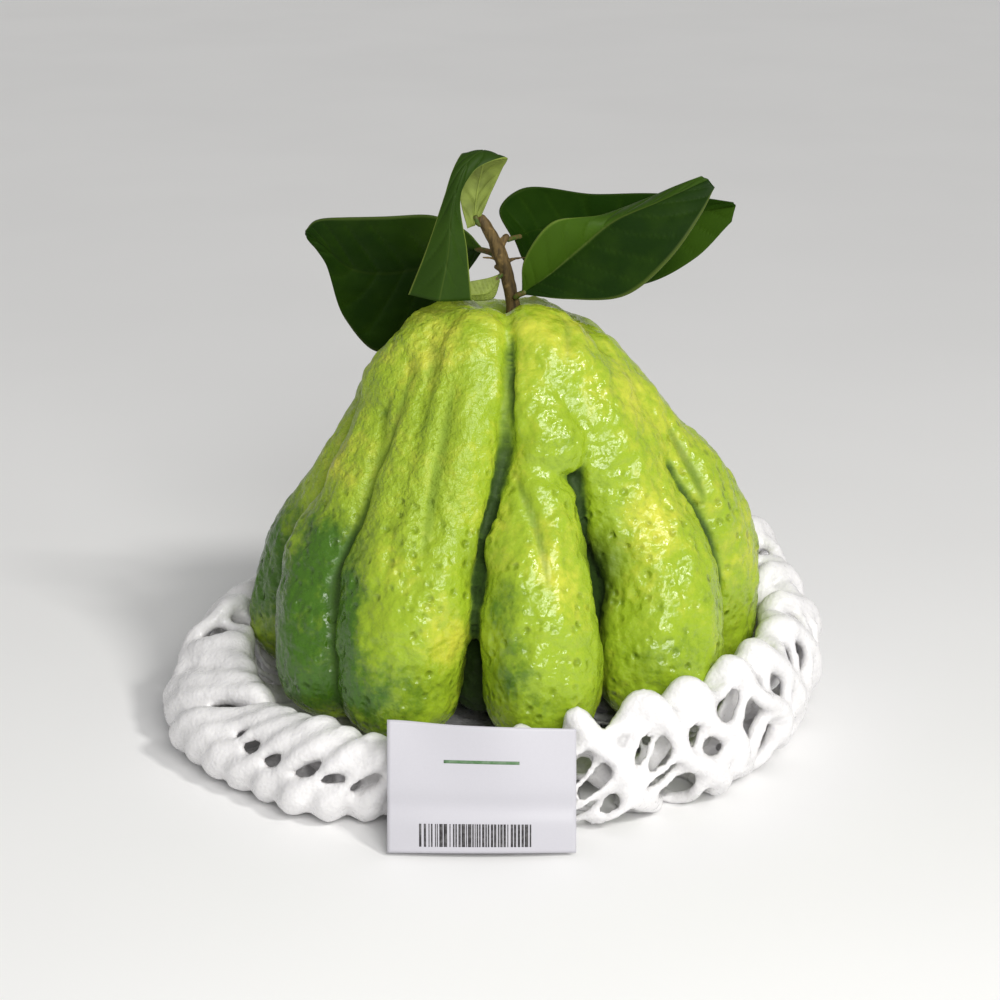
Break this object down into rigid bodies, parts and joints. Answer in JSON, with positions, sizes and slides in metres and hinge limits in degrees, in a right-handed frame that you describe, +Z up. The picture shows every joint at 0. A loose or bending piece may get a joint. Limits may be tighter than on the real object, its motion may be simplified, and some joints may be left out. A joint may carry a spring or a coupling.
{
  "type": "buddha's hand citron in a foam net",
  "caption": "Green fingered citron with closed, hanging fingers, a cut twig and leaves, resting in a white foam net sleeve with a paper price label leaning on its front.",
  "frame": {"origin": "centre of the flat underside of the foam net, on the surface it stands on", "axes": "+Z up along the stalk, -Y the front where the label leans, +X to the right seen from the front"},
  "size_m": [0.214, 0.2072, 0.1881],
  "materials": {
    "peel": "waxy green peel, lumpy and pitted, with wet highlights",
    "bark": "dull green-brown young bark",
    "leaf": "dark green leathery blade, satin above and pale below",
    "young_leaf": "pale yellow-green, matte",
    "foam": "white expanded foam, softly glossy",
    "paper": "coated white paper with black print"
  },
  "bodies": {
    "root": {"fruit": "peel", "twig": "bark", "leaf_left": "leaf", "leaf_curled": "leaf", "leaf_right_back": "leaf", "leaf_right_front": "leaf", "leaf_small": "young_leaf", "foam_net": "foam", "label": "paper"}
  },
  "joints": []
}
